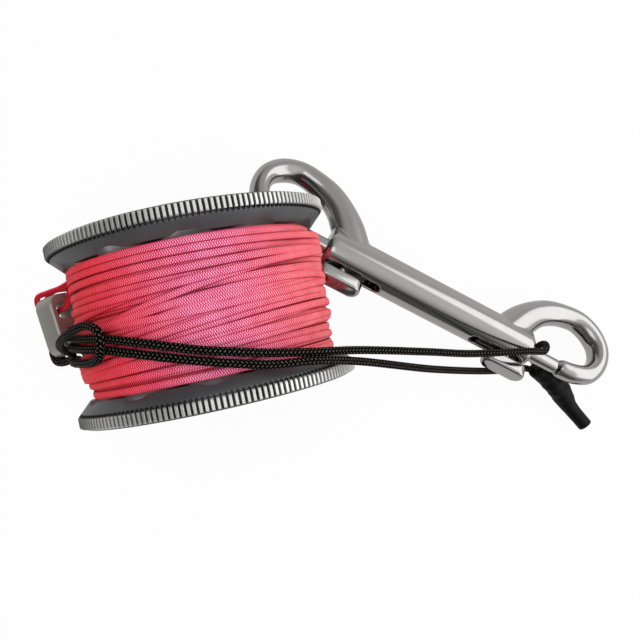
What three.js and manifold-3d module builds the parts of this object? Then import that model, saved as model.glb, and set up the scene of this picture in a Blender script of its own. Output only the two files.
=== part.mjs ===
// A diver's finger spool: a knurled two flange spool full of braided line, a double ended bolt snap
// hooked through one flange, and a short black cord loop that ties the line's end link to the snap.
// Millimetres and degrees, +Z up. The spool lies on its two rims with its axis along Y.
import * as THREE from "three";
import { mergeVertices } from "three/addons/utils/BufferGeometryUtils.js";
import Module from "manifold-3d";

const wasm = await Module();
wasm.setup();

const vec = (x, y, z) => new THREE.Vector3(x, y, z);
const rad = THREE.MathUtils.degToRad;
const evenly = (steps) => Array.from({ length: steps + 1 }, (_, i) => i / steps);

// Clearances
const gap = 0.3; // between two pieces that touch
const overrun = 2; // how far a cutter runs past what it cuts
const weld = 0.0005; // corners closer than this are one corner

// Spool
const flangeRadius = 36;
const spoolWidth = 45.8; // over both flanges
const lineSpace = 32.8; // between the flanges' inner faces
const rimWidth = 3.4; // the knurled band
const rimWall = 2.8; // left outside the flange holes
const webThickness = 2.4;
const fingerBore = 26;
const hubWall = 3.2;
const bossWall = 2; // added round the bore on the outer face
const holeCount = 11;
const holeDiameter = 12;
const snapHoleAngle = -17; // the hole that the snap goes through, from +X
const knurlCount = 172;
const knurlDepth = 0.55;
const knurlSeat = 1.2; // depth of the toothed band below its roots
const landShare = 0.5; // of a tooth's pitch
const edgeBreak = 0.4;
const boreBreak = 1.2;
const recessDraft = 0.5;
const spigotLength = 7;

// Line
const lineDiameter = 1.3;
const packBelowRim = 3.4;
const packEndGap = 0.3; // between the pack and a flange
const woundLoops = 15;
const lineLeaves = 172; // from +X, round the axis towards +Z
const bendRadius = 1.1; // where the outer layer comes up out of the core
const dentDepth = 7; // the snap's gate and nose press into the pack here
const dentStart = 7; // along the axis, from the middle
const dentHalfAngle = 15;
const studDent = 2.3; // the snap's thumb stud presses this deep
const studDentAt = 4.6; // along the axis, from the middle
const studDentHalf = 2.8;
const studDentAngle = -11; // from +X
const studDentHalfAngle = 8;
const dentEase = 1.3; // how much wider the turns underneath are pressed in

// Link between the line and the cord
const linkLength = 16.2;
const linkWidth = 9.4;
const linkThickness = 6.4;
const linkCorner = 3.2;
const linkSideBar = 1.7;
const linkEndBar = 2.3;
const linkBridge = 2.6;
const linkTilt = 60; // of its windows' axis, from straight up towards +X
const linkLean = 6; // of its length, turned out from the spool's axis
const linkPast = 6; // of its middle, beyond the pack
const linkBelow = 4; // of its middle, under the spool's axis
const linkAlong = 4.5; // of its middle, along the spool's axis
const linkBevel = 0.45;

// Snap, in its own frame: u along the body, v towards the hooks, w across them
const noseHalf = 33.5; // middle to either end of the body
const bodyRadius = 5.3;
const spineRadius = 3.9;
const spineRise = 3; // of the spine's centre over the gates' axis
const noseRound = 1.8;
const eyeCentre = 46.8; // of each hook, from the middle of the snap
const eyeRise = 9.9; // of each hook's centre over the gates' axis
const hookRadius = 13.3; // of each hook's outer edge at its end
const hookHalfWidth = 3.6;
const neckHalfWidth = 4.3;
const mouthHalf = 43.4; // middle to either hook's end face
const mouthThickness = 5.4;
const mouthHalfWidth = 2.9;
const cupDepth = 0.9;
const gateDiameter = 4.4;
const gateTail = 25.5; // length of a gate inside and outside the body
const gateTravel = 10;
const bridgeHalf = 3; // solid between the two bores
const slotWidth = 3.8;
const slotEndWall = 2.2; // between a slot and the body's end
const studShank = 3.2;
const studPeg = 2;
const studPegDepth = 1.6;
const studFromNose = 6.8; // body's end to the thumb stud, closed
const padLength = 13.6;
const padWidth = 5.6;
const padHeight = 3.9;
const padStandoff = 1; // of a pad from the body
const padBevel = 0.8;
const springCurls = 7;
const springWire = 0.7;
const snapHeading = -38.6; // of the body, from +X, seen from above
const snapRoll = -32.2; // hooks turned down from level
const snapSag = 0.89; // of the gate's axis under the flange hole's centre
const snapLean = 1.35; // of the gate's axis sideways from it
const mouthPast = 0.1; // of the hook's mouth through the flange's web, beyond its middle

// Cord loop
const cordDiameter = 2;
const sleeveWidth = 7.2; // round the knot
const sleeveShares = [0.84, 0.9, 0.98, 1, 0.9, 0.7, 0.65, 0.64]; // of that width, from its mouth
const sleeveBore = 2.6; // at its open free end
const sleeveDepth = 2.5;

// Worked out from the sizes above
const flangeThickness = (spoolWidth - lineSpace) / 2;
const innerFace = lineSpace / 2;
const outerFace = spoolWidth / 2;
const webFace = innerFace + webThickness;
const chamfer = flangeThickness - rimWidth; // 45 degrees, inside each rim
const boreRadius = fingerBore / 2;
const hubRadius = boreRadius + hubWall;
const bossRadius = hubRadius + bossWall;
const holeCircle = flangeRadius - rimWall - holeDiameter / 2;
const knurlRoot = flangeRadius - knurlDepth;
const packRadius = flangeRadius - packBelowRim;
const linkOut = packRadius + linkPast;
const gateRadius = gateDiameter / 2;
const boreClear = gateRadius + gap;
const gateEnd = mouthHalf + cupDepth - gap; // closed
const studAt = noseHalf - studFromNose; // closed

// Facets
const roundSides = 48;
const holeSides = 16;
const smallSides = 14;
const loopSteps = 24;
const bendSteps = 3;
const lineSides = 6;
const curlSteps = 8;
const wireSides = 5;
const cordSides = 8;
const ringsPerSpan = 1;
const hookSteps = 19;
const hookSides = 14;
const bodySides = 18;
const noseSteps = 2;

// Finishes
const finish = (color, roughness, metalness) => new THREE.MeshStandardMaterial({ color, roughness, metalness });
const mouldedGrey = finish(0x4b4e50, 0.42, 0.25);
const pinkLine = finish(0xf04a66, 0.72, 0);
const blackCord = finish(0x131314, 0.75, 0);
const blackSleeve = finish(0x18181a, 0.5, 0);
const polishedSteel = finish(0xb9b8b5, 0.14, 1);
const springSteel = finish(0x9a9a98, 0.3, 1);
const satinSteel = finish(0x8f8c86, 0.3, 1);

// Any closed geometry as a solid
function solid(geometry) {
  const bare = geometry.index ? geometry.toNonIndexed() : geometry.clone();
  bare.deleteAttribute("normal");
  bare.deleteAttribute("uv");
  const merged = mergeVertices(bare, weld);
  const made = new wasm.Manifold(
    new wasm.Mesh({
      numProp: 3,
      vertProperties: merged.attributes.position.array,
      triVerts: new Uint32Array(merged.index.array),
    }),
  );
  return made;
}

// A solid back as a geometry
function geometryOf(made) {
  const mesh = made.getMesh();
  const position = new Float32Array(mesh.numVert * 3);
  for (let i = 0; i < mesh.numVert; i++) {
    position.set(mesh.vertProperties.subarray(i * mesh.numProp, i * mesh.numProp + 3), i * 3);
  }
  const geometry = new THREE.BufferGeometry();
  geometry.setAttribute("position", new THREE.BufferAttribute(position, 3));
  geometry.setIndex(new THREE.BufferAttribute(mesh.triVerts, 1));
  geometry.computeVertexNormals();
  return geometry;
}

// A named sub-part of a group
function addPart(group, name, shape, material) {
  const geometry = shape.isBufferGeometry ? shape : geometryOf(shape);
  const mesh = new THREE.Mesh(geometry, material);
  mesh.name = name;
  group.add(mesh);
  return mesh;
}

// A closed loft through rings of equally many points, with flat ends
function loft(rings) {
  const count = rings[0].length;
  const position = [];
  const index = [];
  rings.forEach((ring) => ring.forEach((p) => position.push(p.x, p.y, p.z)));
  for (let r = 0; r + 1 < rings.length; r++) {
    for (let i = 0; i < count; i++) {
      const a = r * count + i;
      const b = r * count + ((i + 1) % count);
      index.push(a, b, b + count, a, b + count, a + count);
    }
  }
  [0, rings.length - 1].forEach((r) => {
    const middle = rings[r].reduce((sum, p) => sum.add(p), vec(0, 0, 0)).divideScalar(count);
    const centre = position.length / 3;
    position.push(middle.x, middle.y, middle.z);
    for (let i = 0; i < count; i++) {
      const a = r * count + i;
      const b = r * count + ((i + 1) % count);
      if (r === 0) index.push(centre, b, a);
      else index.push(centre, a, b);
    }
  });
  const geometry = new THREE.BufferGeometry();
  geometry.setAttribute("position", new THREE.Float32BufferAttribute(position, 3));
  geometry.setIndex(index);
  geometry.computeVertexNormals();
  return geometry;
}

// A round rod along X from one place to another
function rodX(radius, from, to, sides = smallSides) {
  const rod = new THREE.CylinderGeometry(radius, radius, to - from, sides);
  rod.rotateZ(-Math.PI / 2);
  rod.translate((from + to) / 2, 0, 0);
  return rod;
}

// A round section for a tube along a curve
function roundSection(radius, sides) {
  const corners = Array.from({ length: sides }, (_, i) => {
    const turn = (i / sides) * Math.PI * 2;
    return new THREE.Vector2(Math.cos(turn) * radius, Math.sin(turn) * radius);
  });
  return new THREE.Shape(corners);
}

function tube(path, radius, steps, sides) {
  return new THREE.ExtrudeGeometry(roundSection(radius, sides), {
    steps,
    extrudePath: path,
    bevelEnabled: false,
  });
}

// Whichever way round a closed geometry was made, its faces end up pointing out
function facingOut(geometry) {
  const made = solid(geometry);
  return made.volume() > 0 ? made : solid(flipped(geometry));
}

function flipped(geometry) {
  const turned = geometry.index ? geometry.toNonIndexed() : geometry.clone();
  const place = turned.attributes.position;
  const keep = vec(0, 0, 0);
  const other = vec(0, 0, 0);
  for (let i = 0; i < place.count; i += 3) {
    keep.fromBufferAttribute(place, i + 1);
    other.fromBufferAttribute(place, i + 2);
    place.setXYZ(i + 1, other.x, other.y, other.z);
    place.setXYZ(i + 2, keep.x, keep.y, keep.z);
  }
  return turned;
}

// The outline of the toothed band, as a ring round Z
function knurlRing() {
  const outline = [];
  const pitch = (Math.PI * 2) / knurlCount;
  for (let i = 0; i < knurlCount; i++) {
    [[0, flangeRadius], [landShare, knurlRoot]].forEach(([share, r]) => {
      const turn = (i + share) * pitch;
      outline.push(new THREE.Vector2(Math.cos(turn) * r, Math.sin(turn) * r));
    });
  }
  const ring = new THREE.Shape(outline);
  const inside = new THREE.Path();
  inside.absarc(0, 0, knurlRoot - knurlSeat, 0, Math.PI * 2, true);
  ring.holes.push(inside);
  const band = new THREE.ExtrudeGeometry(ring, {
    depth: rimWidth - edgeBreak,
    bevelEnabled: false,
    curveSegments: roundSides / 2,
  });
  band.rotateX(-Math.PI / 2); // from round Z to round Y, standing on Y = 0
  return band;
}

// One moulded half of the spool on the +Y side, with its joint at Y = 0 either a spigot or a socket
function spoolHalf(hasSpigot) {
  const mid = boreRadius + hubWall / 2;
  const seam = gap / 2;
  const joint = hasSpigot
    ? [[boreRadius, -spigotLength], [mid - gap / 2, -spigotLength], [mid - gap / 2, seam], [hubRadius, seam]]
    : [[mid + gap / 2, seam], [hubRadius, seam]];
  const bore = hasSpigot ? [] : [[boreRadius, spigotLength + gap], [mid + gap / 2, spigotLength + gap]];
  const rimInside = flangeRadius - rimWall;
  const profile = [
    ...joint,
    [hubRadius, innerFace],
    [flangeRadius - knurlDepth - chamfer, innerFace],
    [knurlRoot, innerFace + chamfer],
    [knurlRoot, outerFace - edgeBreak],
    [knurlRoot - edgeBreak, outerFace],
    [rimInside, outerFace],
    [rimInside - recessDraft, webFace],
    [bossRadius + recessDraft, webFace],
    [bossRadius, outerFace - edgeBreak],
    [bossRadius - edgeBreak, outerFace],
    [boreRadius + boreBreak, outerFace],
    [boreRadius, outerFace - boreBreak],
    ...bore,
  ];
  profile.push(profile[0]);
  const points = profile.map(([r, y]) => new THREE.Vector2(r, y));
  let half = facingOut(new THREE.LatheGeometry(points, roundSides));
  const band = knurlRing();
  band.translate(0, innerFace + chamfer, 0);
  half = half.add(facingOut(band));
  for (let i = 0; i < holeCount; i++) {
    const turn = rad(snapHoleAngle) + (i / holeCount) * Math.PI * 2;
    const cutter = new THREE.CylinderGeometry(holeDiameter / 2, holeDiameter / 2, flangeThickness + overrun, holeSides);
    cutter.translate(Math.cos(turn) * holeCircle, innerFace + flangeThickness / 2, Math.sin(turn) * holeCircle);
    half = half.subtract(solid(cutter));
  }
  return half;
}

// How deep the snap presses into the pack at a place along and round it
function dent(y, turn, spread = 1) {
  const hill = (offset, half) => Math.exp(-((offset / half) ** 2));
  const off = (angle) => Math.atan2(Math.sin(turn - rad(angle)), Math.cos(turn - rad(angle)));
  const along = Math.max(0, y - dentStart) / (innerFace - dentStart);
  const fromGate = dentDepth * along ** 1.5 * hill(off(snapHoleAngle), rad(dentHalfAngle * spread));
  const fromStud = studDent * hill(y - studDentAt, studDentHalf) * hill(off(studDentAngle), rad(studDentHalfAngle * spread));
  return Math.max(fromGate, fromStud);
}

// The turns of line under the outer layer
function lineCore() {
  const inner = hubRadius + gap;
  const outer = packRadius - lineDiameter - 3 * gap;
  const end = innerFace - packEndGap;
  const slices = 10;
  const points = [new THREE.Vector2(inner, -end)];
  for (let i = 0; i <= slices; i++) points.push(new THREE.Vector2(outer, -end + (i / slices) * 2 * end));
  points.push(new THREE.Vector2(inner, end));
  points.push(points[0]);
  const core = new THREE.LatheGeometry(points, roundSides);
  const place = core.attributes.position;
  for (let i = 0; i < place.count; i++) {
    const x = place.getX(i);
    const z = place.getZ(i);
    const r = Math.hypot(x, z);
    if (r < (inner + outer) / 2) continue;
    const scale = (r - dent(place.getY(i), Math.atan2(z, x), dentEase)) / r;
    place.setX(i, x * scale);
    place.setZ(i, z * scale);
  }
  const wellRadius = lineDiameter / 2 + bendRadius + gap;
  const start = winding.getPoint(0);
  const turn = Math.atan2(start.z, start.x) + bendRadius / outer / 2;
  const depth = 2 * (outer - Math.hypot(start.x, start.z) + gap);
  const well = new THREE.CylinderGeometry(wellRadius, wellRadius, depth, smallSides);
  well.rotateZ(-Math.PI / 2);
  well.rotateY(-turn);
  well.translate(Math.cos(turn) * outer, start.y, Math.sin(turn) * outer);
  return facingOut(core).subtract(solid(well));
}

// The route of the outer layer: straight up out of the core, then round and along the pack
class Winding extends THREE.Curve {
  constructor() {
    super();
    this.radius = packRadius - lineDiameter / 2;
    this.start = -innerFace + packEndGap + lineDiameter / 2;
    this.travel = lineSpace - 2 * packEndGap - lineDiameter;
    this.length = woundLoops * Math.PI * 2 * this.radius;
    this.bend = (bendRadius * Math.PI) / 2;
    this.lead = lineDiameter + this.bend;
    this.arcLengthDivisions = woundLoops * loopSteps * 8;
  }
  getPoint(t) {
    const s = t * (this.length + this.lead);
    const onPack = Math.max(0, s - this.lead) / this.length;
    const swing = Math.min(Math.max(0, (s - lineDiameter) / this.bend), 1) * (Math.PI / 2);
    const sunk = Math.max(0, lineDiameter - s) + bendRadius * (1 - Math.sin(swing));
    const before = bendRadius * Math.cos(swing);
    const y = this.start + this.travel * onPack;
    const turn = rad(lineLeaves) + onPack * woundLoops * Math.PI * 2 - before / this.radius;
    const r = this.radius - sunk - dent(y, turn);
    return vec(Math.cos(turn) * r, y, Math.sin(turn) * r);
  }
  places() {
    const whole = this.length + this.lead;
    const rise = evenly(bendSteps).map((share) => (lineDiameter + share * this.bend) / whole);
    const round = evenly(woundLoops * loopSteps).map((share) => (this.lead + share * this.length) / whole);
    return [0, ...rise.slice(0, -1), ...round];
  }
}
const winding = new Winding();

// Least gap of a wound tube to itself, measured on points of its middle line
function leastGap(curve, diameter, samples) {
  const points = curve.getSpacedPoints(samples);
  const step = curve.getLength() / samples;
  const skip = Math.ceil((diameter * 4) / step);
  let least = Infinity;
  points.forEach((p, i) => {
    for (let j = i + skip; j < points.length; j++) least = Math.min(least, p.distanceTo(points[j]));
  });
  return least - diameter;
}

// A round cord through route points, which lie closer in tight turns, and the rings with them
function cord(points, diameter, sides, ends = 0, grow = 0) {
  const route = points.map((p) => vec(...p));
  const last = route.length - 1;
  const first = route[0].clone().sub(route[1]).normalize().multiplyScalar(ends);
  const final = route[last].clone().sub(route[last - 1]).normalize().multiplyScalar(ends);
  route[0].add(first);
  route[last].add(final);
  const curve = new THREE.CatmullRomCurve3(route, false, "centripetal");
  return tapered(curve, evenly(Math.round(last * ringsPerSpan)), () => diameter / 2 + grow, sides);
}

// Rings square to a curve, each turned as little as can be from the one before
function tapered(curve, places, radiusAt, sides) {
  const rings = [];
  let across = null;
  places.forEach((t) => {
    const along = curve.getTangent(t);
    if (!across) across = Math.abs(along.y) < 0.9 ? vec(0, 1, 0) : vec(1, 0, 0);
    across = across.clone().addScaledVector(along, -across.dot(along)).normalize();
    const other = along.clone().cross(across);
    const middle = curve.getPoint(t);
    rings.push(Array.from({ length: sides }, (_, k) => {
      const turn = (k / sides) * Math.PI * 2;
      return middle
        .clone()
        .addScaledVector(across, Math.cos(turn) * radiusAt(t))
        .addScaledVector(other, Math.sin(turn) * radiusAt(t));
    }));
  });
  return facingOut(loft(rings));
}

// The snap's frame at a given drop of its far end
const throughHole = vec(
  Math.cos(rad(snapHoleAngle)) * holeCircle + snapLean,
  innerFace + webThickness / 2,
  Math.sin(rad(snapHoleAngle)) * holeCircle - snapSag,
);
function snapFrame(drop) {
  const heading = rad(snapHeading);
  const u = vec(Math.cos(drop) * Math.cos(heading), Math.cos(drop) * Math.sin(heading), Math.sin(drop));
  const level = vec(-Math.sin(heading), Math.cos(heading), 0);
  const up = u.clone().cross(level);
  const v = level.multiplyScalar(Math.cos(rad(snapRoll))).addScaledVector(up, Math.sin(rad(snapRoll)));
  const w = u.clone().cross(v);
  const matrix = new THREE.Matrix4().makeBasis(u, v, w);
  const holeAt = -(mouthHalf + mouthPast / Math.abs(u.y));
  matrix.setPosition(throughHole.clone().addScaledVector(u, -holeAt));
  return matrix;
}

// Outer and inner edges of a hook in polar shares of its radius, from its mouth round to its neck
const hookAngleShares = [-75, -44, -13, 18, 49, 80, 110, 141, 172].map((degrees) => degrees / 180);
const outerShares = [0.937, 0.987, 0.99, 1, 0.982, 0.957, 0.973, 1.17, 1.568];
const innerShares = [0.5, 0.545, 0.565, 0.54, 0.472, 0.464, 0.455, 0.528, 0.744];
const neckRootShares = [[0.6, 0.8], [0.93, 0.4]]; // of noseHalf and bodyRadius, outer then inner

function hookEdge(shares, mouthRise, rootShare) {
  const points = [vec(mouthHalf, mouthRise, 0)];
  shares.forEach((share, i) => {
    const turn = hookAngleShares[i] * Math.PI;
    const r = share * hookRadius;
    points.push(vec(eyeCentre + Math.cos(turn) * r, eyeRise + Math.sin(turn) * r, 0));
  });
  points.push(vec(rootShare[0] * noseHalf, rootShare[1] * bodyRadius, 0));
  return new THREE.CatmullRomCurve3(points, false, "centripetal");
}

// One hook at the +u end, its rounded section swept between the two edges
function hook() {
  const outer = hookEdge(outerShares, -mouthThickness / 2, neckRootShares[0]);
  const inner = hookEdge(innerShares, mouthThickness / 2, neckRootShares[1]);
  const rings = [];
  for (let i = 0; i <= hookSteps; i++) {
    const t = i / hookSteps;
    const far = outer.getPoint(t);
    const near = inner.getPoint(t);
    const middle = far.clone().add(near).divideScalar(2);
    const half = far.clone().sub(near).divideScalar(2);
    const across = t < 0.5
      ? THREE.MathUtils.lerp(mouthHalfWidth, hookHalfWidth, Math.min(1, 4 * t))
      : THREE.MathUtils.lerp(hookHalfWidth, neckHalfWidth, 2 * t - 1);
    const ring = [];
    for (let k = 0; k < hookSides; k++) {
      const turn = (k / hookSides) * Math.PI * 2;
      ring.push(middle.clone().addScaledVector(half, Math.cos(turn)).add(vec(0, 0, across * Math.sin(turn))));
    }
    rings.push(ring);
  }
  return facingOut(loft(rings));
}

// The cast body's egg shaped section: the hull of the barrel and the spine
function bodyRing(u, inset) {
  const ring = [];
  for (let k = 0; k < bodySides; k++) {
    const turn = (k / bodySides) * Math.PI * 2;
    const n = vec(0, Math.sin(turn), Math.cos(turn));
    const onSpine = spineRise * n.y + spineRadius > bodyRadius;
    const centre = onSpine ? spineRise : 0;
    const r = (onSpine ? spineRadius : bodyRadius) - inset;
    ring.push(vec(u, centre, 0).addScaledVector(n, r));
  }
  return ring;
}

function mirrored(made) {
  return made.mirror([1, 0, 0]);
}

function snapBody() {
  const rings = [];
  const turns = evenly(noseSteps).map((share) => (share * Math.PI) / 2);
  const nose = turns.map((turn) => [1 - Math.sin(turn), 1 - Math.cos(turn)].map((share) => share * noseRound));
  [...nose].reverse().forEach(([back, inset]) => rings.push(bodyRing(-noseHalf + back, inset)));
  nose.forEach(([back, inset]) => rings.push(bodyRing(noseHalf - back, inset)));
  let half = hook();
  const bore = solid(rodX(boreClear, bridgeHalf, noseHalf + overrun));
  const cup = solid(rodX(gateRadius - edgeBreak / 2 + gap, mouthHalf - overrun, mouthHalf + cupDepth));
  const slotFrom = studAt - gateTravel - slotWidth / 2;
  const slotTo = noseHalf - slotEndWall;
  const slot = new THREE.BoxGeometry(slotTo - slotFrom, bodyRadius + overrun, slotWidth);
  slot.translate((slotFrom + slotTo) / 2, -(bodyRadius + overrun) / 2, 0);
  const cuts = bore.add(cup).add(solid(slot));
  half = half.subtract(cup);
  return facingOut(loft(rings)).add(half).add(mirrored(half)).subtract(cuts).subtract(mirrored(cuts));
}

// One gate with a chamfered end and the hole for its stud, closed at the +u end
function gate() {
  const tail = gateEnd - gateTail;
  const ring = (u, r) => Array.from({ length: smallSides }, (_, k) => {
    const turn = (k / smallSides) * Math.PI * 2;
    return vec(u, Math.sin(turn) * r, Math.cos(turn) * r);
  });
  const rod = facingOut(loft([
    ring(tail, gateRadius),
    ring(gateEnd - edgeBreak * 2, gateRadius),
    ring(gateEnd, gateRadius - edgeBreak * 2),
  ]));
  const hole = new THREE.CylinderGeometry(studPeg / 2 + gap, studPeg / 2 + gap, gateDiameter, smallSides);
  hole.translate(studAt, studPegDepth + gap - gateRadius - gateDiameter / 2, 0);
  return rod.subtract(solid(hole));
}

// The thumb stud: a peg in the gate, a shank in the slot and a rounded pad outside
function stud() {
  const under = bodyRadius + padStandoff;
  const seat = gateRadius + gap;
  const peg = new THREE.CylinderGeometry(studPeg / 2, studPeg / 2, studPegDepth + gap, smallSides);
  peg.translate(studAt, -(seat + gateRadius - studPegDepth) / 2, 0);
  const shank = new THREE.CylinderGeometry(studShank / 2, studShank / 2, under - seat + edgeBreak, smallSides);
  shank.translate(studAt, -(seat + under + edgeBreak) / 2, 0);
  const outline = new THREE.Shape();
  const straight = (padLength - padWidth) / 2;
  outline.absarc(straight, 0, padWidth / 2 - padBevel, -Math.PI / 2, Math.PI / 2, false);
  outline.absarc(-straight, 0, padWidth / 2 - padBevel, Math.PI / 2, (Math.PI * 3) / 2, false);
  const pad = new THREE.ExtrudeGeometry(outline, {
    depth: padHeight - 2 * padBevel,
    bevelThickness: padBevel,
    bevelSize: padBevel,
    bevelSegments: 1,
    curveSegments: 6,
  });
  pad.rotateX(Math.PI / 2);
  pad.translate(studAt, -under - padBevel, 0);
  return facingOut(pad).add(solid(shank)).add(solid(peg));
}

// A coil spring between the bore's end and a gate's tail, along u
class Coil extends THREE.Curve {
  constructor(from, to) {
    super();
    this.from = from + springWire / 2 + gap;
    this.to = to - springWire / 2 - gap;
    this.radius = boreClear - gap - springWire / 2;
    this.arcLengthDivisions = springCurls * curlSteps * 8;
  }
  getPoint(t) {
    const turn = t * springCurls * Math.PI * 2;
    return vec(this.from + (this.to - this.from) * t, Math.sin(turn) * this.radius, Math.cos(turn) * this.radius);
  }
}

function spring() {
  const coil = new Coil(bridgeHalf, gateEnd - gateTail);
  console.log("least gap of a spring to itself", leastGap(coil, springWire, springCurls * curlSteps).toFixed(2), "mm");
  return facingOut(tube(coil, springWire / 2, springCurls * curlSteps, wireSides));
}

// The two window link, its length along -Y, its windows along its thickness
function linkPlate() {
  const roundedBox = (shape, long, wide, corner) => {
    const a = long / 2 - corner;
    const b = wide / 2 - corner;
    shape.absarc(a, b, corner, 0, Math.PI / 2, false);
    shape.absarc(-a, b, corner, Math.PI / 2, Math.PI, false);
    shape.absarc(-a, -b, corner, Math.PI, Math.PI * 1.5, false);
    shape.absarc(a, -b, corner, Math.PI * 1.5, Math.PI * 2, false);
    return shape;
  };
  const outline = roundedBox(new THREE.Shape(), linkLength - 2 * linkBevel, linkWidth - 2 * linkBevel, linkCorner - linkBevel);
  const windowLong = (linkLength - 2 * linkEndBar - linkBridge) / 2;
  const windowWide = linkWidth - 2 * linkSideBar;
  const windowCorner = linkCorner - linkSideBar;
  let plate = facingOut(new THREE.ExtrudeGeometry(outline, {
    depth: linkThickness - 2 * linkBevel,
    bevelThickness: linkBevel,
    bevelSize: linkBevel,
    bevelSegments: 1,
    curveSegments: 4,
  }).translate(0, 0, linkBevel - linkThickness / 2));
  [-1, 1].forEach((side) => {
    const hole = roundedBox(new THREE.Shape(), windowLong, windowWide, windowCorner);
    const cutter = new THREE.ExtrudeGeometry(hole, { depth: linkThickness + overrun, bevelEnabled: false, curveSegments: 3 });
    cutter.translate((side * (windowLong + linkBridge)) / 2, 0, -(linkThickness + overrun) / 2);
    plate = plate.subtract(facingOut(cutter));
  });
  return plate;
}

// Route of the cord from inside the sleeve, over the right gate and the pack, through the link's lower
// window, round its end bar, back as the bight over both strands, round the bar again and home
const cordRoute = [
  [95.2, -41, -28.9],
  [93.1, -38.3, -27.8],
  [90.9, -35.3, -26.5],
  [89.27, -32.4, -24.84],
  [89.92, -30.24, -23.53],
  [91.48, -28.79, -21.24],
  [92.19, -28.6, -19.16],
  [91.87, -29.33, -17.11],
  [90.65, -30.17, -15.57],
  [88.2, -29.7, -12.9],
  [84.6, -28.7, -9.4],
  [66.7, -25.2, -1],
  [55.5, -22.1, 5],
  [37, -17.2, 17],
  [26.6, -15.1, 24.6],
  [17.2, -13.1, 29.5],
  [10.2, -11.3, 32.5],
  [2.9, -9.3, 34],
  [-3.5, -7.2, 33.9],
  [-9.8, -5.1, 32.7],
  [-19.7, -2.3, 27.8],
  [-26.2, -1.2, 21.8],
  [-29.9, -0.4, 16.3],
  [-33.1, 0.4, 9.2],
  [-34.51, 1.32, 2.2],
  [-36.24, 1.28, -1.4],
  [-40.28, 0.4, -3.4],
  [-43, -1.4, -5.1],
  [-42.6, -4.8, -4.9],
  [-38.66, -5.46, -2.1],
  [-35.63, -4.19, 1.5],
  [-36, -2.6, 6],
  [-34.4, -1.5, 12.6],
  [-30.9, -0.2, 19.4],
  [-25.9, 0.9, 25.3],
  [-21.8, 1.1, 28.5],
  [-18.7, -0.8, 31.2],
  [-18.6, -3.4, 31.4],
  [-20.2, -6.3, 29.2],
  [-23.4, -7.2, 25.3],
  [-27.5, -6.9, 20.4],
  [-31.3, -6.4, 13.9],
  [-34.11, -5.9, 5.8],
  [-35.35, -5.49, -1.4],
  [-38.07, -5.3, -5.2],
  [-41.77, -4.58, -7.5],
  [-41.92, -1.18, -7.4],
  [-39.11, 0.73, -5.6],
  [-34.84, 1.04, -3.5],
  [-34.23, -0.9, 0.2],
  [-33.6, -1.98, 5.5],
  [-31.7, -2.6, 12.5],
  [-26.3, -3.7, 21.7],
  [-20.1, -4.8, 27.5],
  [-10.4, -7.6, 32.5],
  [-4, -9.6, 33.9],
  [2.4, -11.6, 34],
  [9.6, -13.7, 32.9],
  [16.7, -15.6, 30.4],
  [26.5, -17, 26.2],
  [36.4, -19.8, 17],
  [55.2, -26.8, 1],
  [70.7, -31.8, -14.6],
  [75.5, -33.1, -18.9],
  [80.5, -34.2, -22.6],
  [85.5, -34.8, -26],
  [89.4, -36.4, -28.9],
  [92.2, -39, -30.6],
  [94.7, -41.8, -31.9],
];

const sleeveRoute = [
  [90.6, -35.9, -27.8],
  [94.6, -40.2, -30.1],
  [97.8, -45, -32.1],
  [99.9, -50.2, -33.4],
  [103.8, -57.4, -33.7],
];

// Route of the line from the pack round the link's other end bar, twice
const tailRoute = [
  [-31.75, 15.4, 3.9],
  [-32.6, 15, 0.8],
  [-36.94, 14.03, -2.2],
  [-40.57, 13.64, -3.2],
  [-43.92, 12.99, -4.4],
  [-44.36, 10.53, -5.2],
  [-42.12, 8.35, -4.4],
  [-39.38, 8.14, -3.2],
  [-36.14, 8.95, -1.9],
  [-34.67, 10.99, -1.7],
  [-34.73, 13.19, -2.9],
  [-38, 14.1, -4.8],
  [-41.1, 13.85, -6.95],
  [-43.3, 11.4, -8.7],
  [-42.1, 9.1, -7.9],
  [-39.95, 8.2, -6.8],
];

// The routes are drawn for one pack radius and one place of the snap's free end, and follow both
const drawnPackRadius = 32.6;
const drawnFreeEnd = [95.25, -36.46, -21.45];
const linkSide = [-36, -30]; // across here a route turns from the link's shift to the pack's
const snapSide = [30, 80]; // and here from the pack's shift to the snap's

function fitted(route, freeEnd) {
  const grow = packRadius - drawnPackRadius;
  const snapShift = freeEnd.clone().sub(vec(...drawnFreeEnd));
  return route.map(([x, y, z]) => {
    const outward = vec(x, 0, z).normalize();
    outward.lerp(vec(-1, 0, 0), 1 - THREE.MathUtils.smoothstep(x, ...linkSide));
    const shift = outward.multiplyScalar(grow).lerp(snapShift, THREE.MathUtils.smoothstep(x, ...snapSide));
    return vec(x, y, z).add(shift).toArray();
  });
}

function sleeve(sleevePoints, cordPoints) {
  const curve = new THREE.CatmullRomCurve3(sleevePoints.map((p) => vec(...p)), false, "centripetal");
  const last = sleeveShares.length - 1;
  const radiusAt = (t) => {
    const i = Math.min(last - 1, Math.floor(t * last));
    const share = THREE.MathUtils.lerp(sleeveShares[i], sleeveShares[i + 1], t * last - i);
    return (share * sleeveWidth) / 2;
  };
  const skin = tapered(curve, evenly(last * 2), radiusAt, smallSides);
  const end = curve.getPoint(1);
  const out = curve.getTangent(1);
  const bore = new THREE.CylinderGeometry(sleeveBore / 2, sleeveBore / 2, sleeveDepth * 2, smallSides);
  bore.applyQuaternion(new THREE.Quaternion().setFromUnitVectors(vec(0, 1, 0), out));
  bore.translate(end.x, end.y, end.z);
  return skin.subtract(solid(bore)).subtract(cord(cordPoints, cordDiameter, cordSides, 3 * gap, gap));
}

const spoolGroup = new THREE.Group();
spoolGroup.position.z = flangeRadius;

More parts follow.
